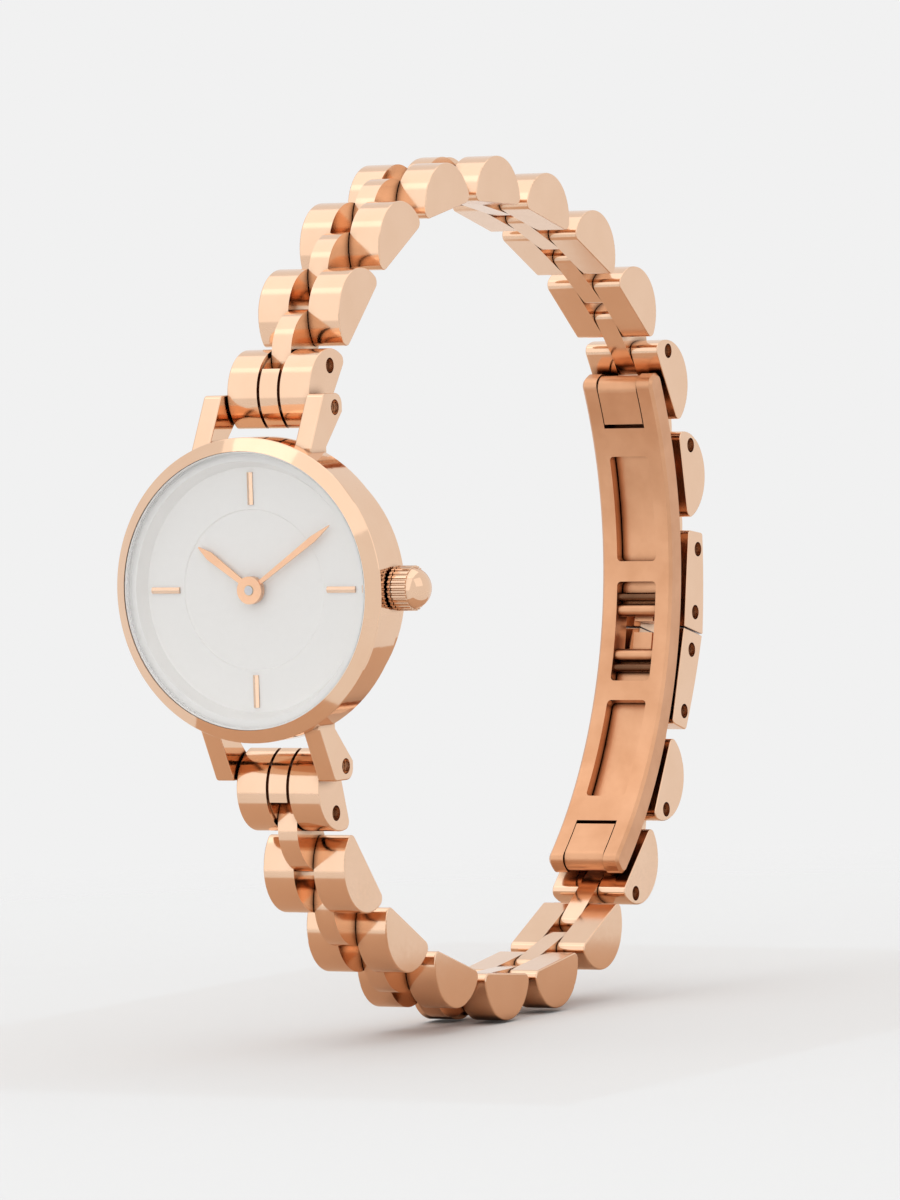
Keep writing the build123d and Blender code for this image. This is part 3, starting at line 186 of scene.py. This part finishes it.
# Kinds of surface
def metal(name, light, dark, smoothest, roughest, stretch=None, reach=0.0):
    """A metal with faint colour variation and polish haze, and with brushed grain or a slight ripple."""
    material, tree, shader = new_material(name)
    shader.inputs["Metallic"].default_value = 1.0
    haze = noise(tree, haze_scale, 3.0)
    colour = ramp(tree, haze, [(0.35, linear(*light)), (0.7, linear(*dark))])
    # Painted shade: where a reach is given, the base colour darkens towards brown in crevices
    if reach:
        colour = painted_crevice_shade(tree, colour, reach)
    tree.links.new(colour, shader.inputs["Base Color"])
    fine = noise(tree, fine_scale)
    rough = ramp(tree, fine, [(0.3, (smoothest,)), (0.75, (roughest,))])
    tree.links.new(rough, shader.inputs["Roughness"])
    if stretch:
        bump(tree, shader, noise(tree, grain_scale, 3.0, stretch), 0.5, brush_depth)
    else:
        bump(tree, shader, noise(tree, ripple_scale, 1.0), 0.15, ripple_depth)
    return material


def plain(name, light, dark, roughness):
    """A matt or satin surface with a fine grain."""
    material, tree, shader = new_material(name)
    grain = noise(tree, paint_scale)
    colour = ramp(tree, grain, [(0.3, linear(*light)), (0.75, linear(*dark))])
    tree.links.new(colour, shader.inputs["Base Color"])
    shader.inputs["Roughness"].default_value = roughness
    bump(tree, shader, grain, 0.2, paint_depth)
    return material


def glass(name):
    """Clear crystal that lets light through to the dial and still reflects the lamps."""
    material, tree, shader = new_material(name)
    shader.inputs["Transmission Weight"].default_value = 1.0
    shader.inputs["Roughness"].default_value = 0.0
    shader.inputs["IOR"].default_value = 1.45
    shader.inputs["Base Color"].default_value = (1, 1, 1, 1)
    clear = tree.nodes.new("ShaderNodeBsdfTransparent")
    ray = tree.nodes.new("ShaderNodeLightPath")
    mixed = mix_shaders(tree, ray.outputs["Is Shadow Ray"], shader.outputs["BSDF"], clear.outputs["BSDF"])
    tree.links.new(mixed, tree.nodes["Material Output"].inputs["Surface"])
    return material


rose = metal("rose_gold_polished", (242, 205, 175), (240, 201, 170), 0.05, 0.08, reach=case_reach)
rose_links = metal("rose_gold_links", (242, 204, 174), (239, 200, 169), 0.11, 0.15, reach=link_reach)
rose_brushed = metal(
    "rose_gold_brushed",
    (222, 168, 130),
    (210, 155, 117),
    0.3,
    0.36,
    stretch=brush_stretch,
    reach=clasp_reach,
)
# Painted shade: the clasp's pins take a much darker copy of the rose gold
shaded_rose_pins = metal("rose_gold_pins_painted_shade", (120, 84, 62), (104, 72, 52), 0.25, 0.35)
rose_hands = metal("rose_gold_hands", (240, 190, 150), (236, 184, 144), 0.28, 0.34)
steel = metal("steel_satin", (196, 196, 200), (184, 184, 188), 0.25, 0.35)
brass = metal("brass_satin", (205, 175, 110), (190, 158, 96), 0.25, 0.4)
copper = metal("copper_wire", (200, 120, 75), (180, 100, 60), 0.3, 0.4)
dial_paint = plain("dial_paint", (250, 248, 245), (248, 246, 243), 0.55)
gasket_black = plain("gasket_rubber", (26, 24, 24), (20, 18, 18), 0.5)
holder_plastic = plain("holder_plastic", (205, 203, 196), (198, 196, 190), 0.5)
board_green = plain("circuit_board", (30, 92, 52), (24, 80, 44), 0.4)
crystal_glass = glass("crystal_glass")

# Nodes that aren't polished rose gold; every node with "link" in its name is a bracelet link
brass_nodes = (
    "main_plate train_bridge intermediate_wheel centre_wheel cannon_pinion minute_wheel hour_wheel".split()
)
steel_nodes = (
    "hand_cap spring_bars case_back quartz_can battery battery_clip motor_stator motor_rotor stem "
    "clutch_wheel setting_lever crown_tube".split()
)
groups = (
    (crystal_glass, ["crystal"]),
    (dial_paint, ["dial", "dial_flange", "crystal_gasket"]),
    (rose_hands, ["hour_hand", "minute_hand"]),
    (rose_brushed, ["clasp_plate", "clasp_blade_upper", "clasp_blade_lower"]),
    (shaded_rose_pins, ["clasp_hinge_pins", "clasp_catch_pins"]),
    (gasket_black, ["case_back_gasket", "crown_gasket"]),
    (holder_plastic, ["movement_holder"]),
    (board_green, ["circuit_board"]),
    (copper, ["motor_coil"]),
    (brass, brass_nodes),
    (steel, steel_nodes),
)
looks = {name: material for material, names in groups for name in names}

for name, node in nodes.items():
    material = looks.get(name, rose_links if "link" in name else rose)
    if not node.material_slots:
        node.data.materials.append(material)
    for slot in node.material_slots:
        slot.material = material


# Stage
floor_level = cad_box[0][2]


def add_floor():
    """The floor under the lowest link, faded out with distance so that it meets the background."""
    bpy.ops.mesh.primitive_plane_add(size=2 * floor_half_size, location=(0.0, stage_y, floor_level))
    floor = bpy.context.object
    floor.name = "floor"
    material, tree, shader = new_material("floor_paper")
    shader.inputs["Base Color"].default_value = linear(floor_tone, floor_tone, floor_tone)
    shader.inputs["Roughness"].default_value = 0.9
    clear = tree.nodes.new("ShaderNodeBsdfTransparent")
    where = tree.nodes.new("ShaderNodeTexCoord")
    length = tree.nodes.new("ShaderNodeVectorMath")
    length.operation = "LENGTH"
    tree.links.new(where.outputs["Object"], length.inputs[0])
    fade = ramp(tree, length.outputs["Value"], [(floor_fade_start, (0.0,)), (floor_fade_end, (1.0,))])
    mixed = mix_shaders(tree, fade, shader.outputs["BSDF"], clear.outputs["BSDF"])
    tree.links.new(mixed, tree.nodes["Material Output"].inputs["Surface"])
    floor.data.materials.append(material)


def add_card():
    """A warm card just over the floor, which only reflections in the metal see: a painted reflection that
    darkens the undersides of the links.
    """
    bpy.ops.mesh.primitive_plane_add(size=1.0, location=(0.0, stage_y, floor_level + card_lift))
    card = bpy.context.object
    card.name = "painted_reflection_under"
    card.scale = (*card_size, 1.0)
    material, tree, shader = new_material("painted_reflection_under")
    shader.inputs["Base Color"].default_value = linear(200, 172, 150)
    shader.inputs["Roughness"].default_value = 1.0
    card.data.materials.append(material)
    card.visible_camera = False
    card.visible_diffuse = False
    card.visible_transmission = False
    card.visible_shadow = False


add_floor()
add_card()


# Light
def add_world():
    """A flat pale background for the camera, reflections and glass, and a soft studio for the light."""
    world = bpy.data.worlds.new("studio")
    bpy.context.scene.world = world
    world.use_nodes = True
    tree = world.node_tree
    tree.nodes.clear()
    output = tree.nodes.new("ShaderNodeOutputWorld")
    where = tree.nodes.new("ShaderNodeTexCoord")
    split = tree.nodes.new("ShaderNodeSeparateXYZ")
    tree.links.new(where.outputs["Generated"], split.inputs[0])
    # from -1..1, straight down to straight up, to the 0..1 of the ramp
    height = tree.nodes.new("ShaderNodeMath")
    height.operation = "MULTIPLY_ADD"
    height.inputs[1].default_value = 0.5
    height.inputs[2].default_value = 0.5
    tree.links.new(split.outputs["Z"], height.inputs[0])
    stops = [
        (0.0, (0.8, 0.79, 0.78, 1)),
        (0.46, (0.84, 0.83, 0.82, 1)),
        (0.6, (0.95, 0.95, 0.94, 1)),
        (1.0, (1, 1, 1, 1)),
    ]
    studio = add(tree, "ShaderNodeBackground", Strength=studio_strength)
    tree.links.new(ramp(tree, height.outputs["Value"], stops), studio.inputs["Color"])
    tone = linear(background_tone, background_tone, background_tone)
    pale = add(tree, "ShaderNodeBackground", Color=tone, Strength=1.0)
    ray = tree.nodes.new("ShaderNodeLightPath")
    seen = ray.outputs["Is Camera Ray"]
    for kind in ("Is Glossy Ray", "Is Transmission Ray"):
        either = tree.nodes.new("ShaderNodeMath")
        either.operation = "MAXIMUM"
        tree.links.new(seen, either.inputs[0])
        tree.links.new(ray.outputs[kind], either.inputs[1])
        seen = either.outputs["Value"]
    mixed = mix_shaders(tree, seen, studio.outputs["Background"], pale.outputs["Background"])
    tree.links.new(mixed, output.inputs["Surface"])


def lamp(name, position, size, power):
    """A square soft lamp that faces the watch, its size in metres and its power in watts."""
    data = bpy.data.lights.new(name, "AREA")
    data.shape = "SQUARE"
    data.size = size
    data.energy = power
    item = bpy.data.objects.new(name, data)
    item.location = position
    aim = Vector(lamp_target) - Vector(position)
    item.rotation_euler = aim.to_track_quat("-Z", "Y").to_euler()
    bpy.context.collection.objects.link(item)


add_world()
lamp("lamp_top", (-0.10, 0.0, 0.8), 1.0, 1.3)
lamp("lamp_right", (0.7, -0.10, 0.4), 0.6, 0.3)
lamp("lamp_front", (-0.15, -0.9, 0.5), 1.7, 2.7)
